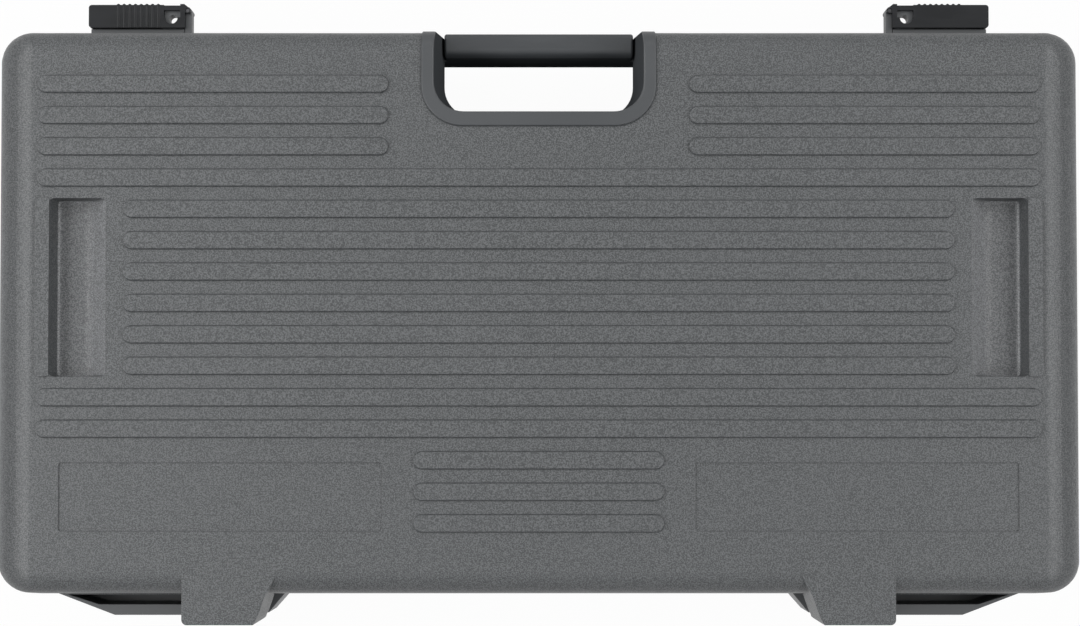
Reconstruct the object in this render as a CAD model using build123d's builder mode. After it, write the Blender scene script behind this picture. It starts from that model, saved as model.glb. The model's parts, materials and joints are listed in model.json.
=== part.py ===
from build123d import *
from math import radians, tan
import os

# A moulded carry case for effect pedals, closed. Millimetres, +Z up. The origin is on the floor
# under the middle of the overall box, the handle and the latches face -Y, the hinge is at +Y.

# Driving dimensions: the body
RIM_WIDTH = 698.0        # widest place, at the parting plane
RIM_FRONT = -180.3
RIM_REAR = 185.8
CASE_HEIGHT = 134.0
FOOT_HEIGHT = 3.0
RIM_Z = 86.0             # parting plane between tray and lid
CORNER_R = 22.0
EDGE_R = 14.0            # rounding between walls and deck
DRAFT = 5.0              # degrees, walls
WALL = 3.5
RAISED = 1.8             # height of ribs, lips and border over the deck

DECK_Z = CASE_HEIGHT - RAISED
RIM_DEPTH = RIM_REAR - RIM_FRONT
RIM_MID = (RIM_REAR + RIM_FRONT) / 2
FLOOR_Z = FOOT_HEIGHT + 4.0

# Upstanding lip inside the tray's rim, which centres the lid and keeps dust out
LIP_PLAY = 0.9           # gap to the lid's wall
LIP_WALL = 1.7
LIP_HEIGHT = 3.0
LIP_ROOT = 5.0

# The handle notch through both halves, its smooth border and the grip
NOTCH_HALF = 62.3        # half width at the parting plane, its narrowest
NOTCH_REAR = -129.0
NOTCH_DRAFT = 5.6
NOTCH_R = 19.0
BORDER_HALF = 74.9
BORDER_REAR = -115.2
BORDER_R = 26.0
BORDER_PROUD = 0.8       # how far the border stands out of the front wall
BORDER_OUTER_SOFT = 0.75
BORDER_INNER_SOFT = 1.2
GRIP_FRONT = -181.4
GRIP_REAR = -165.8
GRIP_LOW = 62.0
GRIP_TOP = 100.0
GRIP_END = 61.9          # half its length over the parting plane, clear of the lid's notch
GRIP_FRONT_SOFT = 3.0
GRIP_REAR_SOFT = 6.0
GRIP_LOW_SOFT = 4.0
GRIP_END_SOFT = 1.6
SCREW_Y = -171.0
SCREW_HEIGHTS = (67.0, 79.0)
SCREW_R = 1.75
SCREW_LENGTH = 22.0
SCREW_HEAD_R = 3.2
SCREW_HEAD_HEIGHT = 2.4
SCREW_SEAT = 70.6        # X of the boss face under each screw head
BOSS_R = 5.2
BOSS_DEPTH = 5.0

# The ribs on the deck
RIB_PITCH = 20.0
RIB_WIDTH = 11.8
RIB_FIRST = -142.0
RIB_OUTER = 320.0
RIB_GROUP_INNER = 95.5   # the front rows stop here, beside the border
RIB_POCKET_HALF = 265.0  # rows between the finger pockets
RIB_CENTRE_HALF = 80.0   # rows between the two bare panels
RIB_COUNT = 15
RIB_TAPER = 20.0
RIB_SOFT = 0.6

# Finger pockets in the deck, and their outer lips
POCKET_INNER = 275.5
POCKET_OUTER = 311.5
POCKET_FRONT = -69.0
POCKET_REAR = 44.8
POCKET_DEPTH = 12.7
POCKET_SLOPE = 12.5      # run of the gentle inner slope
POCKET_STEEP = 2.5       # run of the steep outer wall
POCKET_SCOOP_R = 10.0
POCKET_FOOT_R = 3.0
LIP_OUTER = 320.5
POCKET_MID = (POCKET_FRONT + POCKET_REAR) / 2
POCKET_LENGTH = POCKET_REAR - POCKET_FRONT

# Bare panels sunk in the deck
PANEL_WIDTH = 205.5
PANEL_DEPTH = 43.6
PANEL_X = 202.3
PANEL_Y = 121.3
PANEL_SINK = 0.8

# Hinge: rods in the lid's hoods, lying in open hooks of the tray
HINGE_Y = 193.7
HINGE_Z = 72.0
ROD_R = 3.0
FIT = 0.05               # radial play of a running fit
BARREL_R = 8.8
HOOK_R = 6.6
HOOD_OUTER = 226.5
HOOD_REAR = HINGE_Y + BARREL_R
HOOD_LOW = 80.0
HOOD_CORNER_R = 3.5
HOOD_ROOT = RIM_REAR - 20
HOOD_CURVE = ((167.0, 170.0), (168.2, 174.0), (174.0, 185.0), (178.0, 196.5), (181.3, HOOD_REAR))
HOOD_ROOM = (185.0, 222.0, 187.0, 199.0)     # the hollow in a hood: X from, to, Y from, to
CHEEK_INNER = (181.5, 190.0)
CHEEK_OUTER = (214.0, HOOD_OUTER)
CHEEK_TOP = 102.0
CHEEK_GAP = 0.3          # from the tray's rear wall, so that the lid lifts straight off
BORE_END = HOOD_OUTER - 3.5
HOOK_SPAN = (190.6, 213.4)
HOOK_TOP = 75.2

# Rear bumpers of the tray
BUMPER_OUTER = 321.5
BUMPER_BEND = (320.0, 185.2)
BUMPER_SHOULDER = 280.0
BUMPER_REAR = 200.5
BUMPER_INNER = 168.0
BUMPER_INNER_SHOULDER = 181.0
BUMPER_LOW = 14.0
BUMPER_TOP = 80.0
BUMPER_STOP_Z = 60.7     # its top under the hoods, where they stop
BUMPER_STEP = 227.3
BUMPER_CHAMFER = 8.0
GUTTER = ((311.0, 187.0), (290.5, 193.5), (230.0, 193.5), (230.0, 187.0))
GUTTER_DEPTH = 30.0

# Latches: a swing lever on an upright pin, the same moulding left and right
LATCH_Z = RIM_Z
LATCH_HALF = 8.0         # half height over the grip ribs
PIN_X = 231.5
PIN_Y = -198.3
PIN_R = 1.25
PIN_HALF = 6.6
LEVER_FRONT = -202.5
LEVER_REAR = -186.7
LEVER_INNER = 233.2
LEVER_OUTER = 296.6
LEVER_WALL = 2.4
LEVER_CORNER_R = 2.0
KNUCKLE_R = 2.1
KNUCKLE_REACH = 3.8      # the front wall starts this far from the pin, clear of the bracket
GRIP_RIB_PITCH = 3.75
GRIP_RIB_COUNT = 8
GRIP_RIB_FIRST = 250.8
GRIP_RIB_PROUD = 0.7
GRIP_RIB_R = 1.3
WINDOW = (236.3, 247.1)  # the opening over and under the padlock hole
WINDOW_FRONT = -198.2
WINDOW_ROUND = (242.3, -193.6)
WINDOW_R = 4.3
PADLOCK_X = 241.4
PADLOCK_Y = -192.9
PADLOCK_R = 2.75
EAR = (235.2, 248.2)
EAR_FRONT = -198.6
EAR_HALF = 4.35          # half height of the ear, which fills the lever
LEDGE_FRONT = -186.3
LEDGE_HEIGHT = 4.0
LEDGE_INNER = 234.1
LEDGE_OUTER = 295.6
LEDGE_GAP = 0.3          # between the tray's parts and the lid's ledge
BRACKET_INNER = 229.3
BRACKET_OUTER = 233.7
BRACKET_HALF = 4.0

# Foam
SHEET_TOP = 17.0
FOAM_TOP = 66.0
FOAM_HALF = 337.0
FOAM_FRONT = -168.8
FOAM_REAR = 174.0
STRIP = 14.0
POCKET_ROW_FRONT = 28.0
PEDAL_WIDTH = 76.0
DIVIDER = 20.0
PEDAL_COUNT = 6
FRAME_INNER = 80.0
FRAME_WALL = 16.0
CENTRE_FRONT = -114.0
LINER_LOW = 116.0
LINER_HALF = 266.0
LINER_FRONT = -106.0
LINER_REAR = 165.0

FOOT_X = 296.0
FOOT_FRONT = -140.0
FOOT_REAR = 143.0
FOOT_R = 13.0
STEM_R = 4.0

# The sheet under the foam blocks, cut out round the handle notch
SHEET_WIDTH = 654.0
SHEET_DEPTH = 322.0
SHEET_R = 8.0
SHEET_CUT_HALF = 80.0
SHEET_CUT_REAR = -115.0


def inset(height, angle=DRAFT):
    """How far a drafted wall leans in over a height."""
    return height * tan(radians(angle))


def drafted_box(z_rim, z_end, shrink=0.0, edge=EDGE_R):
    """The body of one half: a round-cornered box that narrows away from the parting plane."""
    lean = inset(abs(z_end - z_rim))
    with BuildPart() as body:
        with BuildSketch(Plane.XY.offset(z_rim)):
            with Locations((0, RIM_MID)):
                RectangleRounded(RIM_WIDTH - 2 * shrink, RIM_DEPTH - 2 * shrink, CORNER_R - shrink)
        with BuildSketch(Plane.XY.offset(z_end)):
            with Locations((0, RIM_MID)):
                RectangleRounded(
                    RIM_WIDTH - 2 * (shrink + lean),
                    RIM_DEPTH - 2 * (shrink + lean),
                    CORNER_R - shrink - lean * 0.5,
                )
        loft(ruled=True)
        ends = body.faces().sort_by(Axis.Z)
        end_face = ends[-1] if z_end > z_rim else ends[0]
        fillet(end_face.edges(), radius=edge)
    return body.part


def notch_prism(z_rim, z_end, grow=0.0):
    """The handle notch in one half, open at the front, widening away from the parting plane."""
    lean = inset(abs(z_end - z_rim), NOTCH_DRAFT)
    front = RIM_FRONT - 60
    with BuildPart() as prism:
        for z, wide in ((z_rim, grow), (z_end, grow + lean)):
            with BuildSketch(Plane.XY.offset(z)):
                rear = NOTCH_REAR + wide
                with Locations((0, (front + rear) / 2)):
                    RectangleRounded(2 * (NOTCH_HALF + wide), rear - front, NOTCH_R + grow)
        loft(ruled=True)
    return prism.part


def room_outline(offset):
    """Outline of the body less the handle notch, drawn an offset inside the parting outline."""
    notch_rear = NOTCH_REAR + offset
    notch_front = RIM_FRONT - 60
    with BuildSketch() as outline:
        with Locations((0, RIM_MID)):
            RectangleRounded(RIM_WIDTH - 2 * offset, RIM_DEPTH - 2 * offset, CORNER_R - offset)
        with Locations((0, (notch_front + notch_rear) / 2)):
            RectangleRounded(
                2 * (NOTCH_HALF + offset), notch_rear - notch_front, NOTCH_R + offset,
                mode=Mode.SUBTRACT,
            )
    return outline.sketch


def border(z_rim, z_end):
    """The raised smooth border round the notch: a band that hugs the deck and the front wall."""
    front = RIM_FRONT - 20
    skin = drafted_box(z_rim, z_end, -BORDER_PROUD)
    opening = notch_prism(z_rim, z_end)
    with BuildPart() as band:
        with BuildSketch(Plane.XY.offset(min(z_rim, z_end))):
            with Locations((0, (front + BORDER_REAR) / 2)):
                RectangleRounded(2 * BORDER_HALF, BORDER_REAR - front, BORDER_R)
        extrude(amount=abs(z_end - z_rim))
        add(skin, mode=Mode.INTERSECT)
        fillet(end_edges(band, z_end)[-1], radius=BORDER_OUTER_SOFT)
        add(opening, mode=Mode.SUBTRACT)
        fillet(end_edges(band, z_end)[-2], radius=BORDER_INNER_SOFT)
    return band.part


def end_edges(band, z_end):
    """The edges along X of the band's flat end, from the front to the rear."""
    ends = band.faces().filter_by(Axis.Z).sort_by(Axis.Z)
    end_face = ends[-1] if z_end > RIM_Z else ends[0]
    return end_face.edges().filter_by(Axis.X).sort_by(Axis.Y)


def pocket(grow=0.0):
    """A finger pocket at +X: a gentle slope inside, a floor and a steep outer wall."""
    floor = DECK_Z - POCKET_DEPTH - grow
    with BuildPart() as recess:
        with BuildSketch(Plane.XZ.offset(-(POCKET_REAR + grow))):
            with BuildLine():
                Polyline(
                    (POCKET_INNER - grow, CASE_HEIGHT + 2),
                    (POCKET_INNER - grow, DECK_Z),
                    (POCKET_INNER + POCKET_SLOPE - grow, floor),
                    (POCKET_OUTER - POCKET_STEEP + grow, floor),
                    (POCKET_OUTER + grow, DECK_Z),
                    (POCKET_OUTER + grow, CASE_HEIGHT + 2),
                    close=True,
                )
            make_face()
        extrude(amount=POCKET_LENGTH + 2 * grow)
        low = recess.edges().filter_by(Axis.Y).group_by(Axis.Z)[0].sort_by(Axis.X)
        fillet(low[0], radius=POCKET_SCOOP_R)
        fillet(low[-1], radius=POCKET_FOOT_R)
        fillet(recess.faces().sort_by(Axis.Z)[0].edges().filter_by(Axis.X), radius=POCKET_FOOT_R)
    return recess.part


def between(x_low, x_high, y_low, y_high):
    """A rectangle between four lines, drawn in the sketch that is open."""
    with Locations(((x_low + x_high) / 2, (y_low + y_high) / 2)):
        Rectangle(x_high - x_low, y_high - y_low)


def latch_ledge(low, inner):
    """The ledge under or over a closed latch lever, at +X."""
    with BuildPart() as ledge:
        with BuildSketch(Plane.XY.offset(low)):
            between(inner, LEDGE_OUTER, LEDGE_FRONT, RIM_FRONT + WALL)
        extrude(amount=LEDGE_HEIGHT)
    return ledge.part


# ---------------------------------------------------------------- lid
lid_body = drafted_box(RIM_Z, DECK_Z)
lid_room = drafted_box(RIM_Z, DECK_Z - WALL, WALL, EDGE_R - WALL)
lid_notch_root = notch_prism(RIM_Z, CASE_HEIGHT, 1)
lid_notch_wall = notch_prism(RIM_Z, CASE_HEIGHT, WALL)
lid_border = border(RIM_Z, CASE_HEIGHT)
left_pocket = pocket()
left_pocket_wall = pocket(WALL)
lid_ledge = latch_ledge(RIM_Z, LEDGE_INNER)

with BuildPart() as lid_cavity:
    add(lid_room)
    add(lid_notch_wall, mode=Mode.SUBTRACT)
    add(left_pocket_wall, mode=Mode.SUBTRACT)
    add(mirror(left_pocket_wall, about=Plane.YZ), mode=Mode.SUBTRACT)

with BuildPart() as hood:
    with BuildSketch(Plane.XY.offset(HOOD_LOW)):
        with BuildLine():
            Spline(*HOOD_CURVE)
            Polyline(
                HOOD_CURVE[-1],
                (HOOD_OUTER, HOOD_REAR),
                (HOOD_OUTER, HOOD_ROOT),
                (HOOD_CURVE[0][0], HOOD_ROOT),
                HOOD_CURVE[0],
            )
        make_face()
    extrude(amount=DECK_Z - HOOD_LOW)
    outer_corner = hood.edges().filter_by(Axis.Z).group_by(Axis.Y)[-1].sort_by(Axis.X)[-1]
    fillet(outer_corner, radius=HOOD_CORNER_R)
    with BuildSketch(Plane.XY.offset(HOOD_LOW)):
        between(*HOOD_ROOM)
    extrude(amount=DECK_Z - HOOD_LOW - WALL, mode=Mode.SUBTRACT)
    with BuildSketch(Plane.XY.offset(HOOD_LOW)):
        between(0, 2 * HOOD_OUTER, HOOD_ROOT - 1, RIM_REAR + 0.5)
    extrude(amount=RIM_Z - HOOD_LOW, mode=Mode.SUBTRACT)
    for low, high in (CHEEK_INNER, CHEEK_OUTER):
        with BuildSketch(Plane.YZ.offset(low)):
            with Locations((HINGE_Y, HINGE_Z)):
                Circle(BARREL_R)
            with Locations((RIM_REAR - 10, HINGE_Z)):
                Rectangle(20 + 2 * CHEEK_GAP, 2 * BARREL_R, mode=Mode.SUBTRACT)
            between(RIM_REAR + CHEEK_GAP, HOOD_REAR, HINGE_Z, CHEEK_TOP)
        extrude(amount=high - low)
    with BuildSketch(Plane.YZ.offset(CHEEK_INNER[0])):
        with Locations((HINGE_Y, HINGE_Z)):
            Circle(ROD_R + FIT)
    extrude(amount=BORE_END - CHEEK_INNER[0], mode=Mode.SUBTRACT)


def rib_spans(row):
    """Where the ribs of a row begin and end along X."""
    if row < 3:
        return ((-RIB_OUTER, -RIB_GROUP_INNER), (RIB_GROUP_INNER, RIB_OUTER))
    if row in (3, 10, 11):
        return ((-RIB_OUTER, RIB_OUTER),)
    if row < 10:
        return ((-RIB_POCKET_HALF, RIB_POCKET_HALF),)
    return ((-RIB_CENTRE_HALF, RIB_CENTRE_HALF),)


with BuildPart() as ribs:
    for row in range(RIB_COUNT):
        with BuildSketch(Plane.XY.offset(DECK_Z)):
            for low, high in rib_spans(row):
                with Locations(((low + high) / 2, RIB_FIRST + row * RIB_PITCH)):
                    SlotOverall(high - low, RIB_WIDTH)
        extrude(amount=RAISED, taper=RIB_TAPER)
    fillet(ribs.faces().filter_by(Axis.Z).group_by(Axis.Z)[-1].edges(), radius=RIB_SOFT)

with BuildPart() as lid_shell:
    add(lid_body)
    add(lid_notch_root, mode=Mode.SUBTRACT)
    add(lid_border)
    add(hood.part)
    add(mirror(hood.part, about=Plane.YZ))
    add(lid_ledge)
    add(mirror(lid_ledge, about=Plane.YZ))
    add(ribs.part)
    with BuildSketch(Plane.XY.offset(DECK_Z - 1)):
        for side in (-1, 1):
            with Locations((side * (POCKET_OUTER + LIP_OUTER - 1) / 2, POCKET_MID)):
                RectangleRounded(LIP_OUTER - POCKET_OUTER + 1, POCKET_LENGTH, 3)
    extrude(amount=RAISED + 1)
    add(left_pocket, mode=Mode.SUBTRACT)
    add(mirror(left_pocket, about=Plane.YZ), mode=Mode.SUBTRACT)
    with BuildSketch(Plane.XY.offset(DECK_Z - PANEL_SINK)):
        with Locations((-PANEL_X, PANEL_Y), (PANEL_X, PANEL_Y)):
            RectangleRounded(PANEL_WIDTH, PANEL_DEPTH, 2)
    extrude(amount=PANEL_SINK + 1, mode=Mode.SUBTRACT)
    add(lid_cavity.part, mode=Mode.SUBTRACT)

lid_shell.part.label = "lid_shell"

# ---------------------------------------------------------------- tray
tray_body = drafted_box(RIM_Z, FOOT_HEIGHT)
tray_room = drafted_box(RIM_Z, FLOOR_Z, WALL, EDGE_R - WALL)
tray_notch = notch_prism(RIM_Z, FOOT_HEIGHT - RAISED)
tray_notch_root = notch_prism(RIM_Z, FOOT_HEIGHT - RAISED, 1)
tray_notch_wall = notch_prism(RIM_Z, 0, WALL)
tray_border = border(RIM_Z, FOOT_HEIGHT - RAISED)
tray_ledge = latch_ledge(RIM_Z - LEDGE_HEIGHT, BRACKET_INNER)
lip_outline = room_outline(WALL + LIP_PLAY)
lip_room = room_outline(WALL + LIP_PLAY + LIP_WALL)
lip_root = room_outline(1.5)

with BuildPart() as tray_cavity:
    add(tray_room)
    add(tray_notch_wall, mode=Mode.SUBTRACT)

with BuildPart() as bumper:
    with BuildSketch(Plane.XY.offset(BUMPER_LOW)):
        with BuildLine():
            Polyline(
                (BUMPER_OUTER, RIM_REAR - 12),
                BUMPER_BEND,
                (BUMPER_SHOULDER, BUMPER_REAR),
                (BUMPER_INNER_SHOULDER, BUMPER_REAR),
                (BUMPER_INNER, RIM_REAR - 1),
                (BUMPER_INNER, RIM_REAR - 12),
                close=True,
            )
        make_face()
    extrude(amount=BUMPER_TOP - BUMPER_LOW)
    low_edges = bumper.faces().sort_by(Axis.Z)[0].edges().sort_by(Axis.Y)[-2:]
    chamfer(low_edges, length=BUMPER_CHAMFER)
    with BuildSketch(Plane.XY.offset(BUMPER_STOP_Z)):
        between(0, BUMPER_STEP, HOOD_ROOT, BUMPER_REAR + 10)
    extrude(amount=BUMPER_TOP - BUMPER_STOP_Z, mode=Mode.SUBTRACT)
    with BuildSketch(Plane.XY.offset(BUMPER_TOP - GUTTER_DEPTH)):
        with BuildLine():
            Polyline(*GUTTER, close=True)
        make_face()
    extrude(amount=GUTTER_DEPTH, mode=Mode.SUBTRACT)
    with BuildSketch(Plane.YZ.offset(HOOK_SPAN[0])):
        with Locations((HINGE_Y, HINGE_Z)):
            Circle(HOOK_R)
        between(HINGE_Y - 16, HINGE_Y, HINGE_Z - 11, HINGE_Z)
        with Locations((HINGE_Y, HINGE_Z)):
            Circle(ROD_R + FIT, mode=Mode.SUBTRACT)
        with Locations((HINGE_Y, HINGE_Z + 10)):
            Rectangle(2 * (ROD_R + FIT), 20, mode=Mode.SUBTRACT)
        with Locations((HINGE_Y, HOOK_TOP + 10)):
            Rectangle(30, 20, mode=Mode.SUBTRACT)
    extrude(amount=HOOK_SPAN[1] - HOOK_SPAN[0])

# The bracket ends in an eye round the latch pin. The ear fills the lever and takes the padlock.
# Over the parting plane both stop short of the lid.
with BuildPart() as latch_mount:
    for top, bracket_rear, ear_rear in (
        (RIM_Z, RIM_FRONT + WALL, RIM_FRONT + WALL),
        (None, RIM_FRONT - LEDGE_GAP, LEDGE_FRONT - LEDGE_GAP),
    ):
        with BuildSketch(Plane.XY.offset(RIM_Z - BRACKET_HALF)):
            between(BRACKET_INNER, BRACKET_OUTER, PIN_Y, bracket_rear)
            with Locations(((BRACKET_INNER + BRACKET_OUTER) / 2, PIN_Y)):
                Circle((BRACKET_OUTER - BRACKET_INNER) / 2)
        extrude(amount=(top or RIM_Z + BRACKET_HALF) - RIM_Z + BRACKET_HALF)
        with BuildSketch(Plane.XY.offset(RIM_Z - EAR_HALF)):
            between(*EAR, EAR_FRONT, ear_rear)
        extrude(amount=(top or RIM_Z + EAR_HALF) - RIM_Z + EAR_HALF)
    with Locations((PADLOCK_X, PADLOCK_Y, RIM_Z)):
        Hole(PADLOCK_R, 20)

with BuildPart() as base_shell:
    add(tray_body)
    add(tray_notch_root, mode=Mode.SUBTRACT)
    add(tray_border)
    add(bumper.part)
    add(mirror(bumper.part, about=Plane.YZ))
    add(tray_ledge)
    add(mirror(tray_ledge, about=Plane.YZ))
    add(latch_mount.part)
    add(mirror(latch_mount.part, about=Plane.YZ))
    add(tray_cavity.part, mode=Mode.SUBTRACT)
    with BuildSketch(Plane.XY.offset(RIM_Z - LIP_ROOT)):
        add(lip_root)
        add(lip_room, mode=Mode.SUBTRACT)
    extrude(amount=LIP_ROOT)
    with BuildSketch(Plane.XY.offset(RIM_Z - 1)):
        add(lip_outline)
        add(lip_room, mode=Mode.SUBTRACT)
    extrude(amount=1 + LIP_HEIGHT)
    for side in (-1, 1):
        for z in SCREW_HEIGHTS:
            with BuildSketch(Plane.YZ.offset(side * SCREW_SEAT)):
                with Locations((SCREW_Y, z)):
                    Circle(BOSS_R)
            extrude(amount=-side * BOSS_DEPTH)
            with BuildSketch(Plane.YZ.offset(side * SCREW_SEAT)):
                with Locations((SCREW_Y, z)):
                    Circle(SCREW_R + 0.1)
            extrude(amount=-side * 20, mode=Mode.SUBTRACT)
    for x in (-FOOT_X, FOOT_X):
        for y in (FOOT_FRONT, FOOT_REAR):
            with Locations((x, y, FLOOR_Z)):
                Hole(STEM_R, 20)
    for side in (-1, 1):
        with Locations((side * PIN_X, PIN_Y, RIM_Z)):
            Hole(PIN_R, 20)

base_shell.part.label = "base_shell"

# ---------------------------------------------------------------- grip
with BuildPart() as grip_root:
    with BuildSketch(Plane.YZ.offset(-GRIP_END - 20)):
        between(GRIP_FRONT, GRIP_REAR, GRIP_LOW, RIM_Z)
    extrude(amount=2 * (GRIP_END + 20))
    add(tray_notch, mode=Mode.INTERSECT)
    low_edges = grip_root.edges().filter_by(Axis.X).group_by(Axis.Z)[0]
    fillet(low_edges, radius=GRIP_LOW_SOFT)

with BuildPart() as handle_grip:
    with BuildSketch(Plane.YZ.offset(-GRIP_END)):
        between(GRIP_FRONT, GRIP_REAR, RIM_Z, GRIP_TOP)
    extrude(amount=2 * GRIP_END)
    top_edges = handle_grip.edges().filter_by(Axis.X).group_by(Axis.Z)[-1].sort_by(Axis.Y)
    fillet(top_edges[0], radius=GRIP_FRONT_SOFT)
    fillet(top_edges[-1], radius=GRIP_REAR_SOFT)
    end_faces = handle_grip.faces().filter_by(Axis.X)
    fillet([edge for edge in end_faces.edges() if edge.center().Z > RIM_Z + 1], radius=GRIP_END_SOFT)
    add(grip_root.part)
    for side in (-1, 1):
        for z in SCREW_HEIGHTS:
            with BuildSketch(Plane.YZ.offset(side * (SCREW_SEAT + 1))):
                with Locations((SCREW_Y, z)):
                    Circle(SCREW_R + FIT)
            extrude(amount=-side * (SCREW_LENGTH + 2), mode=Mode.SUBTRACT)

handle_grip.part.label = "handle_grip"

with BuildPart() as handle_screws:
    for side in (-1, 1):
        for z in SCREW_HEIGHTS:
            with BuildSketch(Plane.YZ.offset(side * (SCREW_SEAT + 0.02))):
                with Locations((SCREW_Y, z)):
                    Circle(SCREW_R)
            extrude(amount=-side * SCREW_LENGTH)
            with BuildSketch(Plane.YZ.offset(side * (SCREW_SEAT + 0.02))):
                with Locations((SCREW_Y, z)):
                    Circle(SCREW_HEAD_R)
            extrude(amount=side * SCREW_HEAD_HEIGHT)

handle_screws.part.label = "handle_screws"

# ---------------------------------------------------------------- feet
with BuildPart() as rubber_feet:
    for x in (-FOOT_X, FOOT_X):
        for y in (FOOT_FRONT, FOOT_REAR):
            with BuildSketch(Plane.XY):
                with Locations((x, y)):
                    Circle(FOOT_R)
            extrude(amount=FOOT_HEIGHT)
            with BuildSketch(Plane.XY.offset(FOOT_HEIGHT)):
                with Locations((x, y)):
                    Circle(STEM_R)
            extrude(amount=FLOOR_Z - FOOT_HEIGHT)
    chamfer(rubber_feet.faces().filter_by(Axis.Z).group_by(Axis.Z)[0].edges(), length=1)

rubber_feet.part.label = "rubber_feet"

# ---------------------------------------------------------------- hinge rods
with BuildPart() as hinge_rod_left:
    with BuildSketch(Plane.YZ.offset(CHEEK_INNER[0] + 0.5)):
        with Locations((HINGE_Y, HINGE_Z)):
            Circle(ROD_R)
    extrude(amount=HOOD_OUTER - 4 - CHEEK_INNER[0] - 0.5)
    chamfer(hinge_rod_left.edges().filter_by(GeomType.CIRCLE), length=0.5)

hinge_rod_right_part = mirror(hinge_rod_left.part, about=Plane.YZ)
hinge_rod_left.part.label = "hinge_rod_left"
hinge_rod_right_part.label = "hinge_rod_right"

# ---------------------------------------------------------------- latches
PLATE_TOP = LATCH_Z + LATCH_HALF - GRIP_RIB_PROUD
PLATE_LOW = LATCH_Z - LATCH_HALF + GRIP_RIB_PROUD
LEVER_HEIGHT = PLATE_TOP - PLATE_LOW
BODY_FRONT = LEVER_FRONT + GRIP_RIB_PROUD

with BuildPart() as latch_lever_left:
    with BuildSketch(Plane.XY.offset(PLATE_LOW)):
        with BuildLine():
            Polyline(
                (PIN_X - 1.5, PIN_Y - 1.2),
                (PIN_X + 2.2, LEVER_FRONT + 0.1),
                (WINDOW[0], LEVER_FRONT + 0.1),
                (WINDOW[0], BODY_FRONT + 0.4),
                (WINDOW[1], BODY_FRONT + 0.4),
                (WINDOW[1], BODY_FRONT),
                (LEVER_OUTER, BODY_FRONT),
                (LEVER_OUTER, LEVER_REAR),
                (LEVER_INNER, LEVER_REAR),
                (LEVER_INNER, PIN_Y),
                close=True,
            )
        make_face()
        with Locations((PIN_X, PIN_Y)):
            Circle(KNUCKLE_R)
    extrude(amount=LEVER_HEIGHT)
    fillet(latch_lever_left.edges().filter_by(Axis.Z).group_by(Axis.X)[-1], radius=LEVER_CORNER_R)
    for rib in range(GRIP_RIB_COUNT):
        rib_x = GRIP_RIB_FIRST + rib * GRIP_RIB_PITCH
        with BuildSketch(Plane.XY.offset(PLATE_LOW)):
            with Locations((rib_x, LEVER_FRONT + GRIP_RIB_R)):
                Circle(GRIP_RIB_R)
        extrude(amount=LEVER_HEIGHT)
        with BuildSketch(Plane.XZ.offset(-LEVER_REAR)):
            with Locations((rib_x, PLATE_TOP + GRIP_RIB_PROUD - GRIP_RIB_R)):
                Circle(GRIP_RIB_R)
        extrude(amount=LEVER_REAR - LEVER_FRONT - GRIP_RIB_R)
    with BuildSketch(Plane.XY.offset(PLATE_LOW + LEVER_WALL)):
        between(PIN_X + KNUCKLE_REACH - 0.1, LEVER_OUTER - LEVER_WALL, LEVER_FRONT + 3, LEVER_REAR + 1)
        between(PIN_X - 10, PIN_X + KNUCKLE_REACH, LEVER_FRONT - 2, LEVER_REAR + 1)
    extrude(amount=LEVER_HEIGHT - 2 * LEVER_WALL, mode=Mode.SUBTRACT)
    with BuildSketch(Plane.XY.offset(PLATE_LOW - 1)):
        between(*WINDOW, WINDOW_FRONT, WINDOW_ROUND[1])
        with Locations(WINDOW_ROUND):
            Circle(WINDOW_R)
    extrude(amount=LEVER_HEIGHT + 2, mode=Mode.SUBTRACT)
    with Locations((PIN_X, PIN_Y, LATCH_Z)):
        Hole(PIN_R + FIT, 20)

latch_lever_left.part.label = "latch_lever_left"
latch_lever_right_part = latch_lever_left.part.rotate(Axis((0, 0, LATCH_Z), (0, 1, 0)), 180)
latch_lever_right_part.label = "latch_lever_right"

with BuildPart() as latch_pin_left:
    with BuildSketch(Plane.XY.offset(LATCH_Z - PIN_HALF)):
        with Locations((PIN_X, PIN_Y)):
            Circle(PIN_R)
    extrude(amount=2 * PIN_HALF)

latch_pin_left.part.label = "latch_pin_left"
latch_pin_right_part = mirror(latch_pin_left.part, about=Plane.YZ)
latch_pin_right_part.label = "latch_pin_right"

# ---------------------------------------------------------------- foam


def block(x_low, x_high, y_low, y_high, z_low, z_high):
    """A cut foam block between six planes."""
    with BuildPart() as foam:
        with BuildSketch(Plane.XY.offset(z_low)):
            with Locations(((x_low + x_high) / 2, (y_low + y_high) / 2)):
                Rectangle(x_high - x_low, y_high - y_low)
        extrude(amount=z_high - z_low)
    return foam.part


foams = {}
row_rear = FOAM_REAR - STRIP
rail_front = POCKET_ROW_FRONT - FRAME_WALL
strip_block = block(-FOAM_HALF, FOAM_HALF, row_rear, FOAM_REAR, SHEET_TOP, FOAM_TOP)
frame_block = block(FRAME_INNER, FOAM_HALF, FOAM_FRONT, rail_front, SHEET_TOP, FOAM_TOP)
frame_room = block(
    FRAME_INNER + FRAME_WALL, FOAM_HALF - FRAME_WALL,
    FOAM_FRONT + FRAME_WALL, rail_front - FRAME_WALL, SHEET_TOP, FOAM_TOP,
)
with BuildPart() as rear_strip:
    add(strip_block)
    fillet(rear_strip.edges().filter_by(Axis.Z).group_by(Axis.Y)[-1], radius=13.5)
foams["rear_strip"] = rear_strip.part
foams["mid_rail"] = block(
    -FOAM_HALF, FOAM_HALF, rail_front, POCKET_ROW_FRONT, SHEET_TOP, FOAM_TOP
)
row_half = (PEDAL_COUNT * PEDAL_WIDTH + (PEDAL_COUNT - 1) * DIVIDER) / 2
foams["end_block_left"] = block(row_half, FOAM_HALF, POCKET_ROW_FRONT, row_rear, SHEET_TOP, FOAM_TOP)
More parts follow.
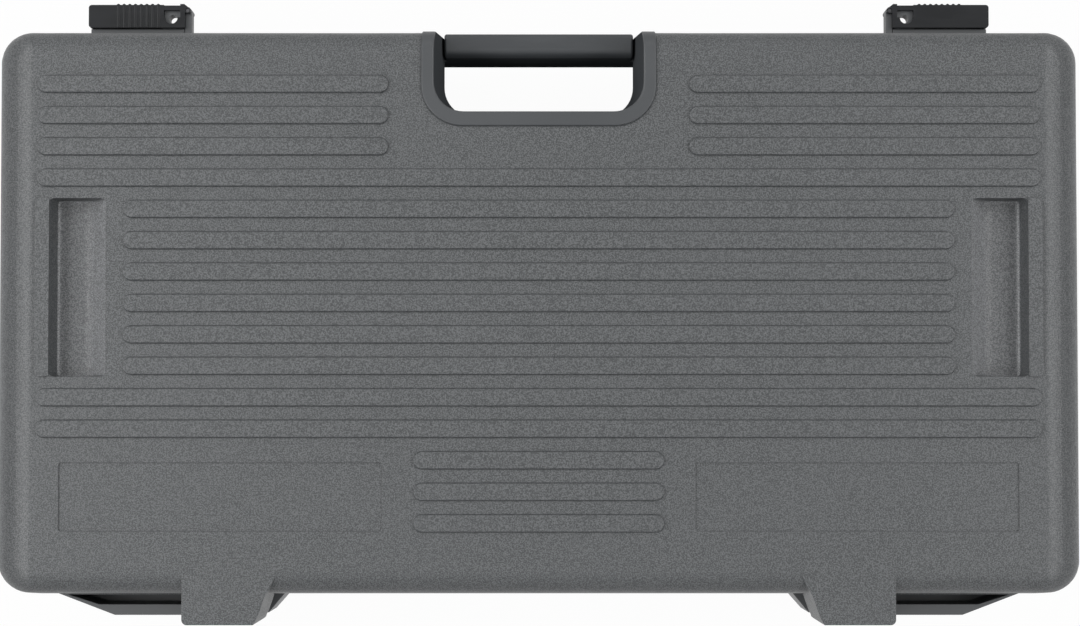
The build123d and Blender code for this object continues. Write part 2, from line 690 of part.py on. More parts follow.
foams["end_block_right"] = block(-FOAM_HALF, -row_half, POCKET_ROW_FRONT, row_rear, SHEET_TOP, FOAM_TOP)
for index in range(1, PEDAL_COUNT):
    start = row_half - index * (PEDAL_WIDTH + DIVIDER) + DIVIDER
    foams[f"divider_{index}"] = block(
        start - DIVIDER, start, POCKET_ROW_FRONT, row_rear, SHEET_TOP, FOAM_TOP
    )
foams["centre_block"] = block(
    -FRAME_INNER, FRAME_INNER, CENTRE_FRONT, rail_front, SHEET_TOP, FOAM_TOP
)
foams["lid_liner"] = block(-LINER_HALF, LINER_HALF, LINER_FRONT, LINER_REAR, LINER_LOW, DECK_Z - WALL)

with BuildPart() as frame_left:
    add(frame_block)
    fillet(frame_left.edges().filter_by(Axis.Z).group_by(Axis.X)[-1].sort_by(Axis.Y)[0], radius=12)
    add(frame_room, mode=Mode.SUBTRACT)

foams["front_frame_left"] = frame_left.part
foams["front_frame_right"] = mirror(frame_left.part, about=Plane.YZ)

with BuildPart() as bed_sheet:
    with BuildSketch(Plane.XY.offset(FLOOR_Z)):
        with Locations((0, RIM_MID)):
            RectangleRounded(SHEET_WIDTH, SHEET_DEPTH, SHEET_R)
        with Locations((0, SHEET_CUT_REAR - SHEET_DEPTH / 2)):
            Rectangle(2 * SHEET_CUT_HALF, SHEET_DEPTH, mode=Mode.SUBTRACT)
    extrude(amount=SHEET_TOP - FLOOR_Z)

foams["bed_sheet"] = bed_sheet.part

# ---------------------------------------------------------------- write
os.makedirs("parts", exist_ok=True)
pieces = [
    lid_shell.part,
    base_shell.part,
    handle_grip.part,
    handle_screws.part,
    rubber_feet.part,
    hinge_rod_left.part,
    hinge_rod_right_part,
    latch_lever_left.part,
    latch_lever_right_part,
    latch_pin_left.part,
    latch_pin_right_part,
]
for name, foam in foams.items():
    foam.label = name
    pieces.append(foam)
for piece in pieces:
    export_step(piece, f"parts/{piece.label}.step")
    print(piece.label, round(piece.volume / 1000, 1), "cm3", len(piece.solids()))
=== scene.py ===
import json
from math import cos, pi, radians, sin

import bmesh
import bpy
from mathutils import Matrix, Vector, noise


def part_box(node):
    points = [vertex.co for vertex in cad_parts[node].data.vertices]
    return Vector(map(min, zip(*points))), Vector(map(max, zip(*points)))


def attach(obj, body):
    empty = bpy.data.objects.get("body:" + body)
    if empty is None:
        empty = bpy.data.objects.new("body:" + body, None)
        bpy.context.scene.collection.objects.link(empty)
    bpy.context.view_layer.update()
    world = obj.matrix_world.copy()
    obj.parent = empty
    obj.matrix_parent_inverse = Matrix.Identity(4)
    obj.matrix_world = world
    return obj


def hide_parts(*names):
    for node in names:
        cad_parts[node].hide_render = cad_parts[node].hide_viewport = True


# A moulded carry case for effect pedals, closed, seen from above. Metres, in the frame's own axes:
# +Z is up, the handle and the latches face -Y, the hinge is at +Y.

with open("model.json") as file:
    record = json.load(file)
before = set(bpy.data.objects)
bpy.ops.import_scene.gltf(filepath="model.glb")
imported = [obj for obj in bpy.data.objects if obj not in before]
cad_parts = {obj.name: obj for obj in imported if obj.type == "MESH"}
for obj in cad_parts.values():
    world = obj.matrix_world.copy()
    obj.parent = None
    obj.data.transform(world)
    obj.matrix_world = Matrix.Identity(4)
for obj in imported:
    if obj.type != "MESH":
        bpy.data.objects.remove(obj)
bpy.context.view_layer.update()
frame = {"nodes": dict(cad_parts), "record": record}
scene = bpy.context.scene
scene.view_settings.view_transform = "Standard"
MM = 0.001

# ---------------------------------------------------------------- camera, light and floor

# The camera was fitted to the photograph. It looks down on the lid, tilted a little.
CAMERA_PLACE = Vector((0.0, 0.08895, 1.352))
CAMERA_TILT = radians(1.5)
CAMERA_LENS = 64.0
CAMERA_SHIFT = (0.0012, 0.0766)
FLOOR_HALF = 6.0
FLOOR_WHITE = 0.96       # share of plain white that the camera sees in the floor
FLOOR_SEEN = (0.86, 0.86, 0.86)      # the paper's own colour in the picture, under the shadow
FLOOR_BOUNCE = (0.28, 0.28, 0.28)    # the paper's colour for the light it gives back to the case
SKY = 0.22               # strength of the pale sky that lights the case


def add_camera():
    """The picture's right is -X and its top is -Y, as the case is seen from the hinge's side."""
    data = bpy.data.cameras.new("camera")
    data.sensor_width = 36.0
    data.lens = CAMERA_LENS
    data.shift_x, data.shift_y = CAMERA_SHIFT
    data.clip_start = 0.05
    camera = bpy.data.objects.new("camera", data)
    scene.collection.objects.link(camera)
    right = Vector((-1, 0, 0))
    up = Vector((0, -cos(CAMERA_TILT), sin(CAMERA_TILT)))
    back = right.cross(up)
    turn = Matrix((right, up, back)).transposed().to_4x4()
    camera.matrix_world = Matrix.Translation(CAMERA_PLACE) @ turn
    scene.camera = camera


def add_lamp(name, place, target, size, power):
    """A soft box that faces a target."""
    data = bpy.data.lights.new(name, "AREA")
    data.shape = "RECTANGLE"
    data.size, data.size_y = size
    data.energy = power
    lamp = bpy.data.objects.new(name, data)
    scene.collection.objects.link(lamp)
    lamp.location = place
    aim = Vector(target) - Vector(place)
    lamp.rotation_euler = aim.to_track_quat("-Z", "Y").to_euler()
    lamp.visible_camera = False


def add_world():
    """A plain pale sky that lights the case, and white where the camera looks past it."""
    world = bpy.data.worlds.new("studio")
    world.use_nodes = True
    scene.world = world
    tree = world.node_tree
    tree.nodes.clear()
    sky = put(tree, "ShaderNodeBackground", {"Color": (0.97, 0.985, 1, 1), "Strength": SKY})
    white = put(tree, "ShaderNodeBackground", {"Color": (1, 1, 1, 1), "Strength": 1.0})
    mixed = put(tree, "ShaderNodeMixShader", {0: seen_directly(tree), 1: sky, 2: white})
    put(tree, "ShaderNodeOutputWorld", {"Surface": mixed})


def add_floor():
    """White paper under the case. It looks white, keeps the shadow and gives little light back."""
    half = FLOOR_HALF
    mesh = bpy.data.meshes.new("floor")
    corners = [(-half, -half, 0), (half, -half, 0), (half, half, 0), (-half, half, 0)]
    mesh.from_pydata(corners, [], [(0, 1, 2, 3)])
    floor = bpy.data.objects.new("floor", mesh)
    scene.collection.objects.link(floor)
    material = bpy.data.materials.new("floor_paper")
    material.use_nodes = True
    tree = material.node_tree
    tree.nodes.clear()
    seen = seen_directly(tree)
    colour = put(
        tree, "ShaderNodeMix", {0: seen, 6: (*FLOOR_BOUNCE, 1), 7: (*FLOOR_SEEN, 1)}, 2,
        data_type="RGBA",
    )
    paper = put(tree, "ShaderNodeBsdfDiffuse", {"Color": colour})
    white = put(tree, "ShaderNodeEmission", {"Color": (1, 1, 1, 1), "Strength": 1.0})
    share = put(tree, "ShaderNodeMath", {0: seen, 1: FLOOR_WHITE}, operation="MULTIPLY")
    mixed = put(tree, "ShaderNodeMixShader", {0: share, 1: paper, 2: white})
    put(tree, "ShaderNodeOutputMaterial", {"Surface": mixed})
    mesh.materials.append(material)


# ---------------------------------------------------------------- node helpers


def put(tree, kind, inputs, out=0, **settings):
    """Adds a node, sets or links its inputs, and returns one of its outputs."""
    node = tree.nodes.new(kind)
    for key, value in settings.items():
        setattr(node, key, value)
    for key, value in inputs.items():
        if isinstance(value, bpy.types.NodeSocket):
            tree.links.new(value, node.inputs[key])
        else:
            node.inputs[key].default_value = value
    return node.outputs[out] if len(node.outputs) else node


def seen_directly(tree):
    """1 for camera, glossy and transmission rays, and 0 for the rays that light things."""
    path = tree.nodes.new("ShaderNodeLightPath")
    first = put(
        tree, "ShaderNodeMath",
        {0: path.outputs["Is Camera Ray"], 1: path.outputs["Is Glossy Ray"]},
        operation="MAXIMUM",
    )
    return put(
        tree, "ShaderNodeMath", {0: first, 1: path.outputs["Is Transmission Ray"]},
        operation="MAXIMUM",
    )


# Upright faces inside this half width and ahead of this rear line, round the notch, don't mirror.
DULL_HALF = 73 * MM
DULL_REAR = -120 * MM


class Finish:
    """A material under construction: its node tree, its shader and short words for its nodes."""

    def __init__(self, name):
        self.material = bpy.data.materials.new(name)
        self.material.use_nodes = True
        self.tree = self.material.node_tree
        self.tree.nodes.clear()
        self.shader = self.tree.nodes.new("ShaderNodeBsdfPrincipled")
        put(self.tree, "ShaderNodeOutputMaterial", {"Surface": self.shader.outputs[0]})
        place = self.tree.nodes.new("ShaderNodeTexCoord")
        self.place = place.outputs["Object"]
        self.normal = place.outputs["Normal"]

    def set(self, **values):
        for key, value in values.items():
            name = key.replace("_", " ")
            if isinstance(value, bpy.types.NodeSocket):
                self.tree.links.new(value, self.shader.inputs[name])
            else:
                self.shader.inputs[name].default_value = value

    def math(self, operation, a, b=0.0):
        return put(self.tree, "ShaderNodeMath", {0: a, 1: b}, operation=operation)

    def axes(self, vector):
        split = self.tree.nodes.new("ShaderNodeSeparateXYZ")
        self.tree.links.new(vector, split.inputs[0])
        return split.outputs

    def step(self, value, low, high, start=0.0, end=1.0):
        """Rises smoothly from start to end while value goes from low to high."""
        return put(
            self.tree, "ShaderNodeMapRange",
            {"Value": value, "From Min": low, "From Max": high, "To Min": start, "To Max": end},
            interpolation_type="SMOOTHSTEP",
        )

    def noise(self, per_metre, detail=2.0, roughness=0.5, vector=None):
        return put(
            self.tree, "ShaderNodeTexNoise",
            {"Vector": vector or self.place, "Scale": per_metre, "Detail": detail,
             "Roughness": roughness},
        )

    def cells(self, per_metre):
        return put(self.tree, "ShaderNodeTexVoronoi", {"Vector": self.place, "Scale": per_metre})

    def stretched(self, scale):
        return put(self.tree, "ShaderNodeMapping", {"Vector": self.place, "Scale": scale})

    def mix(self, factor, a, b):
        """A mix of two numbers."""
        return put(self.tree, "ShaderNodeMix", {0: factor, 2: a, 3: b}, data_type="FLOAT")

    def tint(self, factor, a, b):
        """A mix of two colours, each given as (r, g, b) or a socket."""
        node = self.tree.nodes.new("ShaderNodeMix")
        node.data_type = "RGBA"
        for index, value in ((0, factor), (6, a), (7, b)):
            if isinstance(value, bpy.types.NodeSocket):
                self.tree.links.new(value, node.inputs[index])
            elif isinstance(value, tuple):
                node.inputs[index].default_value = (*value, 1)
            else:
                node.inputs[index].default_value = value
        return node.outputs[2]

    def bump(self, height, distance, strength=1.0, normal=None):
        inputs = {"Height": height, "Distance": distance, "Strength": strength}
        if normal is not None:
            inputs["Normal"] = normal
        return put(self.tree, "ShaderNodeBump", inputs)

    def gloss(self, level):
        """The level of reflection: none on upright faces round the notch, less on other upright ones."""
        x, y, _ = self.axes(self.place)
        beside = self.step(self.math("ABSOLUTE", x), DULL_HALF - 3 * MM, DULL_HALF, 1.0, 0.0)
        inside = self.math("MULTIPLY", beside, self.step(y, DULL_REAR - 3 * MM, DULL_REAR, 1.0, 0.0))
        upright = self.math("SUBTRACT", 1.0, self.upward(0.15, 0.5))
        inside = self.math("MULTIPLY", inside, upright)
        shine = self.step(inside, 0.0, 1.0, level, 0.0)
        return self.math("MULTIPLY", shine, self.mix(upright, 1.0, 0.6))

    def upward(self, low, high):
        """0 where the surface is upright, 1 where it faces up or down."""
        return self.step(self.math("ABSOLUTE", self.axes(self.normal)[2]), low, high)

    def rounded(self, radius):
        """The normal with sharp edges rounded off, and how near an edge a point is, for a painted
        highlight.
        """
        soft = put(self.tree, "ShaderNodeBevel", {"Radius": radius}, samples=4)
        flat = self.tree.nodes.new("ShaderNodeNewGeometry").outputs["Normal"]
        along = put(self.tree, "ShaderNodeVectorMath", {0: soft, 1: flat}, 1, operation="DOT_PRODUCT")
        edge_highlight_mask = self.step(along, 0.75, 0.995, 1.0, 0.0)
        return soft, edge_highlight_mask


# ---------------------------------------------------------------- materials

# Places on the case that its one material tells apart, in the frame's millimetres.
BORDER_HALF = 74.9 * MM  # the smooth border round the handle's notch
BORDER_REAR = -115.2 * MM
BORDER_R = 26 * MM
LATCH_ZONE_FRONT = -181.4 * MM       # the smooth ledges beside the latches lie ahead of this
BUMPER_ZONE_REAR = 187 * MM          # the bumpers lie behind this and under the next
BUMPER_ZONE_TOP = 81 * MM
POCKET_OUTER = 311 * MM              # the finger pockets in the lid's ends, which get painted light
POCKET_MID = -12.1 * MM
POCKET_HALF = 57 * MM
POCKET_FLOOR = 119 * MM
POCKET_TOP = 132.1 * MM
ROLL_FROM = 322.5 * MM   # from here to ROLL_TO the lid's top is shaded as if it fell by ROLL_DROP
ROLL_TO = 348 * MM
ROLL_DROP = 9.0 * MM


def smooth_places(finish):
    """Two masks of places without grain: the handle's border, and the ledges and bumpers."""
    x, y, z = finish.axes(finish.place)
    beside = finish.math("ABSOLUTE", x)
    qx = finish.math("MAXIMUM", finish.math("SUBTRACT", beside, BORDER_HALF - BORDER_R), 0.0)
    qy = finish.math("MAXIMUM", finish.math("SUBTRACT", y, BORDER_REAR - BORDER_R), 0.0)
    square = finish.math("ADD", finish.math("POWER", qx, 2), finish.math("POWER", qy, 2))
    away = finish.math("SQRT", square)
    border = finish.step(away, BORDER_R + 0.1 * MM, BORDER_R + 0.5 * MM, 1.0, 0.0)
    ahead = finish.step(y, LATCH_ZONE_FRONT - 0.5 * MM, LATCH_ZONE_FRONT, 1.0, 0.0)
    behind = finish.step(y, BUMPER_ZONE_REAR, BUMPER_ZONE_REAR + 0.5 * MM)
    under = finish.step(z, BUMPER_ZONE_TOP - 0.5 * MM, BUMPER_ZONE_TOP, 1.0, 0.0)
    behind = finish.math("MULTIPLY", behind, under)
    return border, finish.math("MAXIMUM", ahead, behind)


def end_roll(finish):
    """How far the lid's top falls away towards its ends, beyond the rounding of the solid."""
    beside = finish.math("ABSOLUTE", finish.axes(finish.place)[0])
    return finish.step(beside, ROLL_FROM, ROLL_TO, 0.0, -ROLL_DROP)


def pocket_painted_light(finish):
    """How much painted light the finger pockets get: 1 on their slopes, 0.42 on their floors, 0
    elsewhere.
    """
    x, y, z = finish.axes(finish.place)
    facing = finish.axes(finish.normal)[2]
    beside = finish.math("ABSOLUTE", x)
    across = finish.step(beside, POCKET_OUTER - 2 * MM, POCKET_OUTER, 1.0, 0.0)
    along = finish.math("ABSOLUTE", finish.math("SUBTRACT", y, POCKET_MID))
    along = finish.step(along, POCKET_HALF - 1 * MM, POCKET_HALF, 1.0, 0.0)
    found = finish.math("MULTIPLY", across, along)
    over = finish.step(z, POCKET_FLOOR - 2 * MM, POCKET_FLOOR)
    under = finish.step(z, POCKET_TOP - 0.2 * MM, POCKET_TOP, 1.0, 0.0)
    deep = finish.math("MULTIPLY", over, under)
    pocket_light_paint = finish.math("MULTIPLY", finish.upward(0.4, 0.65), finish.step(facing, 0.8, 0.95, 1.0, 0.42))
    return finish.math("MULTIPLY", finish.math("MULTIPLY", found, deep), pocket_light_paint)


def case_plastic():
    """Grey polypropylene with a moulded sand grain, smooth on the border and the ledges."""
    finish = Finish("case_plastic")
    border, ledges = smooth_places(finish)
    smooth = finish.math("MAXIMUM", border, ledges)
    grain = finish.noise(1250, 2.0, 0.6)
    pits = finish.cells(850)
    blotch = finish.noise(9, 3.0, 0.6)
    scuffs = finish.noise(55, 4.0, 0.65, finish.stretched((1, 3, 1)))
    grained = finish.math("SUBTRACT", 1.0, smooth)
    height = finish.math("ADD", grain, finish.math("MULTIPLY", pits, 0.35))
    height = finish.math("MULTIPLY", height, grained)
    fine = finish.noise(4000, 1.0)
    height = finish.math("ADD", height, finish.math("MULTIPLY", fine, 0.02))
    soft, edge_highlight_mask = finish.rounded(0.6 * MM)
    rolled = finish.bump(end_roll(finish), 1.0, finish.upward(0.25, 0.6), soft)
    finish.set(Normal=finish.bump(height, 0.2 * MM, 0.8, rolled))
    speck = finish.step(grain, 0.40, 0.62)
    base = finish.tint(speck, (0.040, 0.043, 0.045), (0.125, 0.130, 0.134))
    # Painted highlight: small pale specks at the pits stand in for glints of light on the grain.
    painted_glint = finish.step(pits, 0.10, 0.24, 0.35, 0.0)
    base = finish.tint(painted_glint, base, (0.24, 0.245, 0.255))
    # Painted light: the finger pockets' slopes and floors are coloured paler, as if lit.
    pocket_light_paint = finish.tint(speck, (0.110, 0.113, 0.117), (0.270, 0.275, 0.282))
    base = finish.tint(pocket_painted_light(finish), base, pocket_light_paint)
    plain = finish.tint(finish.step(blotch, 0.3, 0.7), (0.049, 0.053, 0.057), (0.057, 0.061, 0.065))
    base = finish.tint(border, base, plain)
    base = finish.tint(ledges, base, (0.088, 0.092, 0.096))
    pale = finish.math("MULTIPLY", finish.step(blotch, 0.35, 0.75), 0.12)
    base = finish.tint(pale, base, (0.11, 0.114, 0.12))
    # Painted highlight: the case is coloured paler along its sharp edges.
    base = finish.tint(finish.math("MULTIPLY", edge_highlight_mask, 0.35), base, (0.15, 0.155, 0.16))
    finish.set(Base_Color=base)
    rough = finish.mix(smooth, 0.44, 0.42)
    scuffs = finish.math("MULTIPLY", finish.math("SUBTRACT", scuffs, 0.5), 0.16)
    rough = finish.math("ADD", rough, scuffs)
    finish.set(Roughness=rough)
    finish.set(Specular_IOR_Level=finish.gloss(0.5))
    return finish.material


def satin_plastic(name, dark, light, rough, gloss):
    """Smooth moulded plastic with faint flow marks, fine dust, and softened edges with a painted
    highlight.
    """
    finish = Finish(name)
    flow = finish.noise(30, 3.0, 0.55, finish.stretched((1, 4, 2)))
    fine = finish.noise(2600, 2.0, 0.6)
    dust = finish.step(finish.noise(420, 3.0, 0.7), 0.58, 0.78)
    soft, edge_highlight_mask = finish.rounded(0.5 * MM)
    finish.set(Normal=finish.bump(fine, 0.02 * MM, 0.6, soft))
    base = finish.tint(finish.step(flow, 0.3, 0.7), dark, light)
    # A paler tone, for the real dust and for the painted highlight along the edges.
    pale = tuple(min(1.0, c * 1.9 + 0.012) for c in light)
    base = finish.tint(finish.math("MULTIPLY", dust, 0.10), base, pale)
    # Painted highlight: the pale tone is also laid along the sharp edges.
    base = finish.tint(finish.math("MULTIPLY", edge_highlight_mask, 0.35), base, pale)
    finish.set(Base_Color=base)
    shine = finish.math("MULTIPLY", finish.math("SUBTRACT", flow, 0.5), 0.2)
    finish.set(Roughness=finish.math("ADD", shine, rough))
    finish.set(Specular_IOR_Level=finish.gloss(gloss))
    return finish.material


def steel(name, stretch, bright, dull):
    """Steel with drawing marks along one direction and a few dull spots."""
    finish = Finish(name)
    lines = finish.noise(2500, 2.0, 0.6, finish.stretched(stretch))
    spots = finish.step(finish.noise(260, 3.0, 0.6), 0.5, 0.75)
    soft, _ = finish.rounded(0.25 * MM)
    finish.set(Normal=finish.bump(lines, 0.02 * MM, 0.7, soft), Metallic=1.0)
    finish.set(Base_Color=finish.tint(spots, bright, dull))
    finish.set(Roughness=finish.mix(spots, 0.26, 0.42))
    return finish.material


def rubber():
    """Matte black rubber with a fine pitted skin and grey dust."""
    finish = Finish("foot_rubber")
    pits = finish.cells(900)
    dust = finish.step(finish.noise(140, 3.0, 0.65), 0.45, 0.75)
    finish.set(Normal=finish.bump(pits, 0.08 * MM, 0.6))
    dust = finish.math("MULTIPLY", dust, 0.4)
    finish.set(Base_Color=finish.tint(dust, (0.018, 0.018, 0.019), (0.07, 0.07, 0.068)))
    finish.set(Roughness=0.82)
    return finish.material


def foam():
    """Charcoal open-cell foam: two sizes of pores, painted shade in the pores that leaves the cell walls
    paler, and a soft sheen.
    """
    finish = Finish("foam")
    pores = finish.cells(820)
    small = finish.cells(2100)
    cloudy = finish.noise(35, 3.0, 0.6)
    height = finish.math("ADD", pores, finish.math("MULTIPLY", small, 0.4))
    finish.set(Normal=finish.bump(height, 0.55 * MM, 0.9))
    # Painted shade: darker towards the middle of each pore, where its hollow is, paler on the cell
    # walls.
    pore_shade = finish.step(finish.math("ADD", pores, finish.math("MULTIPLY", small, 0.5)), 0.45, 1.0)
    base = finish.tint(pore_shade, (0.016, 0.016, 0.018), (0.050, 0.051, 0.055))
    cloudy = finish.math("MULTIPLY", finish.step(cloudy, 0.4, 0.7), 0.25)
    base = finish.tint(cloudy, base, (0.045, 0.046, 0.05))
    finish.set(Base_Color=base, Roughness=0.94, Sheen_Weight=0.12, Sheen_Roughness=0.6)
    return finish.material


MATERIALS = {
    "case_plastic": case_plastic(),
    "grip_plastic": satin_plastic(
        "grip_plastic", (0.043, 0.047, 0.051), (0.051, 0.055, 0.059), 0.42, 0.42
    ),
    "latch_plastic": satin_plastic(
        "latch_plastic", (0.012, 0.013, 0.0145), (0.017, 0.018, 0.020), 0.36, 0.22
    ),
    "rod_steel": steel("rod_steel", (0.04, 1, 1), (0.09, 0.09, 0.095), (0.05, 0.05, 0.052)),
    "screw_steel": steel("screw_steel", (1, 0.1, 1), (0.60, 0.60, 0.61), (0.42, 0.42, 0.43)),
    "foot_rubber": rubber(),
    "foam": foam(),
}


def dress_frame():
    """Every CAD node gets the finish of its material slot."""
    for part in frame["record"]["subparts"]:
        node = frame["nodes"][part["node"]]
        material = MATERIALS[part["material_slot"]]
        node.data.materials.clear()
        node.data.materials.append(material)


# ---------------------------------------------------------------- foam pieces

FOAM_EDGE = 1.6 * MM      # how far a cut edge has softened
EDGE_STEPS = 4
FOAM_GRAIN = 6 * MM       # spacing of the points along an outline
CUT_WAVE = 0.35 * MM      # how far a cut face wanders
EGG_PITCH = 31 * MM
EGG_POINTS = 10           # points in one egg-crate pitch
EGG_SKIN = 4.0 * MM       # foam left under the valleys
BLOCK_CORNER = 1.2 * MM   # from here on: corner radii in plan, a wall, and the sheet's cut-out
STRIP_CORNER = 13.5 * MM
FRAME_CORNER = 12 * MM
FRAME_WALL = 16 * MM
FRAME_ROOM_CORNER = 2.5 * MM
SHEET_CUT_HALF = 80 * MM
SHEET_CUT_REAR = -115 * MM
SHEET_CORNER = 8 * MM


def corner_arc(centre, radius, start, count=7):
    """A quarter arc of points about a corner's centre, counter-clockwise from an angle."""
    step = pi / 2 / (count - 1)
    turns = [start + step * i for i in range(count)]
    return [Vector((centre[0] + radius * cos(a), centre[1] + radius * sin(a))) for a in turns]


def rounded_outline(low, high, radii):
    """A rectangle, counter-clockwise from its low corner, with a radius for each corner."""
    x0, y0 = low[0], low[1]
    x1, y1 = high[0], high[1]
    a, b, c, d = radii
    points = corner_arc((x0 + a, y0 + a), a, pi)
    points += corner_arc((x1 - b, y0 + b), b, 1.5 * pi)
    points += corner_arc((x1 - c, y1 - c), c, 0)
    points += corner_arc((x0 + d, y1 - d), d, 0.5 * pi)
    return points


def refine(points):
    """The same outline with its long sides divided."""
    result = []
    for i, point in enumerate(points):
        after = points[(i + 1) % len(points)]
        count = max(1, round((after - point).length / FOAM_GRAIN))
        result += [point.lerp(after, k / count) for k in range(count)]
    return result


def outward(points):
    """The outward direction at each point of a counter-clockwise outline."""
    result = []
    for i, point in enumerate(points):
        along = points[(i + 1) % len(points)] - points[i - 1]
        result.append(Vector((along.y, -along.x)).normalized())
    return result


def edge_profile(low, high):
    """Pairs of (how far in, height) up a side with softened edges at its foot and its top."""
    turns = [pi / 2 * i / EDGE_STEPS for i in range(EDGE_STEPS + 1)]
    foot = [(FOAM_EDGE * (1 - sin(a)), low + FOAM_EDGE * (1 - cos(a))) for a in turns]
    top = [(FOAM_EDGE * (1 - cos(a)), high - FOAM_EDGE * (1 - sin(a))) for a in turns]
    middle = [(0.0, low + (high - low) * k / 4) for k in (1, 2, 3)]
    return foot + (middle if high - low > 6 * FOAM_EDGE else []) + top


def wander(place):
    """How far a cut face stands in at a place; never out, so a piece stays in its room."""
    return CUT_WAVE * (0.5 + 0.5 * noise.noise(place * 28))


def finish_piece(name, bm, body, nodes, slot="foam"):
    """A mesh becomes a named piece that rides on a body and stands for its nodes."""
    mesh = bpy.data.meshes.new(name)
    bm.normal_update()
    bm.to_mesh(mesh)
    bm.free()
    for polygon in mesh.polygons:
        polygon.use_smooth = True
    piece = bpy.data.objects.new(name, mesh)
    scene.collection.objects.link(piece)
    mesh.materials.append(MATERIALS[slot])
    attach(piece, body)
    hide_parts(*nodes)
    return piece


def side_rings(bm, outline, profile):
    """Rings of vertices up the sides of an outline, joined by faces."""
    away = outward(outline)
    rings = []
    for inset, z in profile:
        ring = []
        for point, direction in zip(outline, away):
            place = Vector((point.x, point.y, z))
            spot = point - direction * (inset + wander(place))
            ring.append(bm.verts.new((spot.x, spot.y, z)))
        rings.append(ring)
    for lower, upper in zip(rings, rings[1:]):
        for i in range(len(lower)):
            j = (i + 1) % len(lower)
            bm.faces.new((lower[i], lower[j], upper[j], upper[i]))
    return rings


def cut_block(name, node, outline):
    """A foam block cut to an outline, between the node's floor and its top."""
    low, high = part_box(node)
    bm = bmesh.new()
    rings = side_rings(bm, refine(outline), edge_profile(low.z, high.z))
    bm.faces.new(list(reversed(rings[0])))
    bm.faces.new(rings[-1])
    piece = finish_piece(name, bm, "tray", [node])
    keep_caps_flat(piece)


def keep_caps_flat(piece):
    """The large faces stay flat in shading, and only the softened edges are smooth."""
    for polygon in piece.data.polygons:
        if len(polygon.vertices) > 4:
            polygon.use_smooth = False


def plain_block(name, node, radii=None):
    """A foam block that fills its node's box."""
    low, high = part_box(node)
    cut_block(name, node, rounded_outline(low, high, radii or (BLOCK_CORNER,) * 4))


def pocket_frame(name, node, corner_index):
    """A foam block with a pocket through it: two outlines joined over the top and under."""
    low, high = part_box(node)
    radii = [BLOCK_CORNER] * 4
    radii[corner_index] = FRAME_CORNER
    outer = refine(rounded_outline(low, high, radii))
    room_low = low + Vector((FRAME_WALL, FRAME_WALL, 0))
    room_high = high - Vector((FRAME_WALL, FRAME_WALL, 0))
    inner = refine(rounded_outline(room_low, room_high, [FRAME_ROOM_CORNER] * 4))
    bm = bmesh.new()
    profile = edge_profile(low.z, high.z)
    outside = side_rings(bm, outer, profile)
    shrunk = [(-inset, z) for inset, z in profile]
    inside = side_rings(bm, inner, shrunk)
    for ring in (0, -1):
        edges = ring_edges(outside[ring]) + ring_edges(inside[ring])
        bmesh.ops.triangle_fill(bm, edges=edges, use_beauty=True, use_dissolve=False)
    bmesh.ops.recalc_face_normals(bm, faces=bm.faces)
    piece = finish_piece(name, bm, "tray", [node])


def ring_edges(ring):
    """The edges between the neighbours of a ring."""
    edges = []
    for i, vertex in enumerate(ring):
        after = ring[(i + 1) % len(ring)]
        edges.append(next(e for e in vertex.link_edges if after in e.verts))
    return edges


def bed_sheet():
    """The sheet under the blocks, cut out round the handle notch."""
    low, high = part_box("bed_sheet")
    notch = SHEET_CUT_HALF
    notch_rear = SHEET_CUT_REAR
    r = SHEET_CORNER
    left = corner_arc((low.x + r, low.y + r), r, pi)
    left += [Vector((-notch, low.y)), Vector((-notch, notch_rear))]
    right = [Vector((notch, notch_rear)), Vector((notch, low.y))]
    right += corner_arc((high.x - r, low.y + r), r, 1.5 * pi)
    rear = corner_arc((high.x - r, high.y - r), r, 0) + corner_arc((low.x + r, high.y - r), r, 0.5 * pi)
    cut_block("bed_sheet_foam", "bed_sheet", left + right + rear)


def egg_height(x, y, low, high):
    """The height of the egg-crate side of the lid's liner: peaks hang down, valleys reach up."""
    wave = cos(2 * pi * x / EGG_PITCH) * cos(2 * pi * y / EGG_PITCH)
    depth = high - EGG_SKIN - low
    return high - EGG_SKIN - depth * (0.5 + 0.5 * wave) ** 1.25


def sheet_border(sheet):
    """The points round a sheet's edge, in order."""
    right = [line[-1] for line in sheet[1:]]
    far = list(reversed(sheet[-1][:-1]))
    left = [line[0] for line in reversed(sheet[1:-1])]
    return sheet[0] + right + far + left


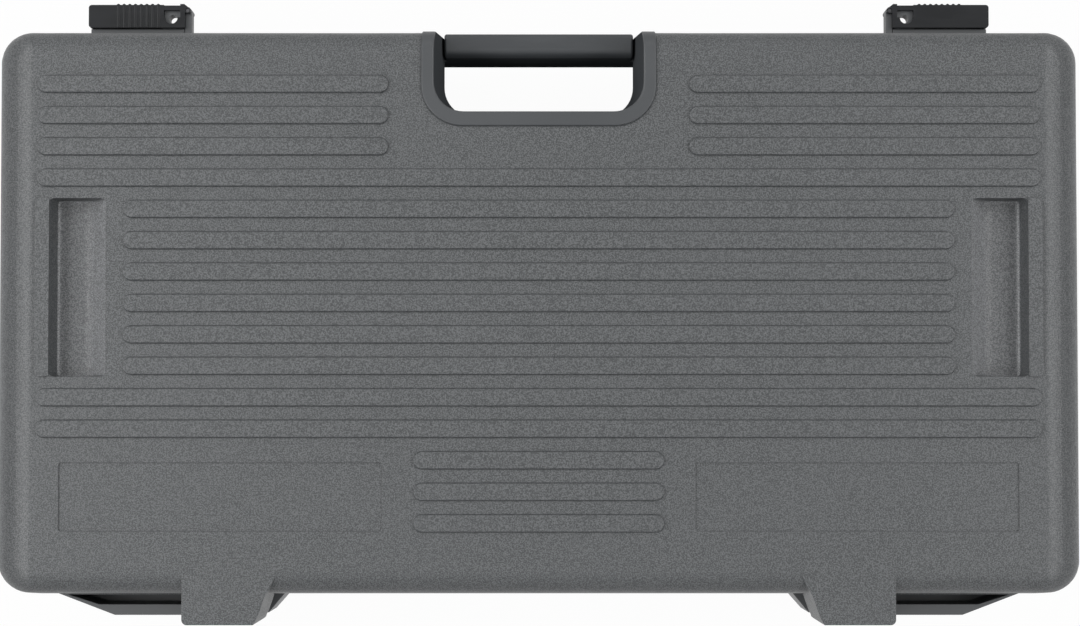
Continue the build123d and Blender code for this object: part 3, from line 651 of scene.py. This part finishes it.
def lid_liner():
    """Convoluted foam glued under the lid: a waved sheet with a flat back."""
    low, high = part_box("lid_liner")
    step = EGG_PITCH / EGG_POINTS
    columns = round((high.x - low.x) / step)
    rows = round((high.y - low.y) / step)
    bm = bmesh.new()
    sheets = []
    for waved in (True, False):
        sheet = []
        for j in range(rows + 1):
            y = low.y + (high.y - low.y) * j / rows
            line = []
            for i in range(columns + 1):
                x = low.x + (high.x - low.x) * i / columns
                line.append(bm.verts.new((x, y, egg_height(x, y, low.z, high.z) if waved else high.z)))
            sheet.append(line)
        sheets.append(sheet)
    for sheet, flip in zip(sheets, (True, False)):
        for j in range(rows):
            for i in range(columns):
                face = [sheet[j][i], sheet[j][i + 1], sheet[j + 1][i + 1], sheet[j + 1][i]]
                bm.faces.new(list(reversed(face)) if flip else face)
    waved, flat = sheets
    below = sheet_border(waved)
    above = sheet_border(flat)
    for i in range(len(below)):
        j = (i + 1) % len(below)
        bm.faces.new((below[i], below[j], above[j], above[i]))
    piece = finish_piece("lid_liner_foam", bm, "lid", ["lid_liner"])


def add_foam():
    strip = (BLOCK_CORNER, BLOCK_CORNER, STRIP_CORNER, STRIP_CORNER)
    plain_block("rear_strip_foam", "rear_strip", strip)
    plain_block("mid_rail_foam", "mid_rail")
    plain_block("end_block_left_foam", "end_block_left")
    plain_block("end_block_right_foam", "end_block_right")
    plain_block("centre_block_foam", "centre_block")
    for index in range(1, 6):
        plain_block(f"divider_{index}_foam", f"divider_{index}")
    pocket_frame("front_frame_left_foam", "front_frame_left", 1)
    pocket_frame("front_frame_right_foam", "front_frame_right", 0)
    bed_sheet()
    lid_liner()


# ---------------------------------------------------------------- the scene

add_camera()
add_world()
add_floor()
# Two long soft boxes beside the case, with a little light from above and from the handle's side.
add_lamp("top_box", (0.5, 0.0, 2.4), (0, 0, 0.1), (1.0, 1.0), 4)
add_lamp("left_box", (1.685, -0.1, 1.514), (0, -0.1, 0.1), (2.6, 1.1), 36)
add_lamp("right_box", (-1.685, -0.1, 1.514), (0, -0.1, 0.1), (2.6, 1.1), 29)
add_lamp("front_box", (0.0, -1.7, 1.6), (0, 0, 0.1), (1.2, 0.6), 3)
dress_frame()
add_foam()
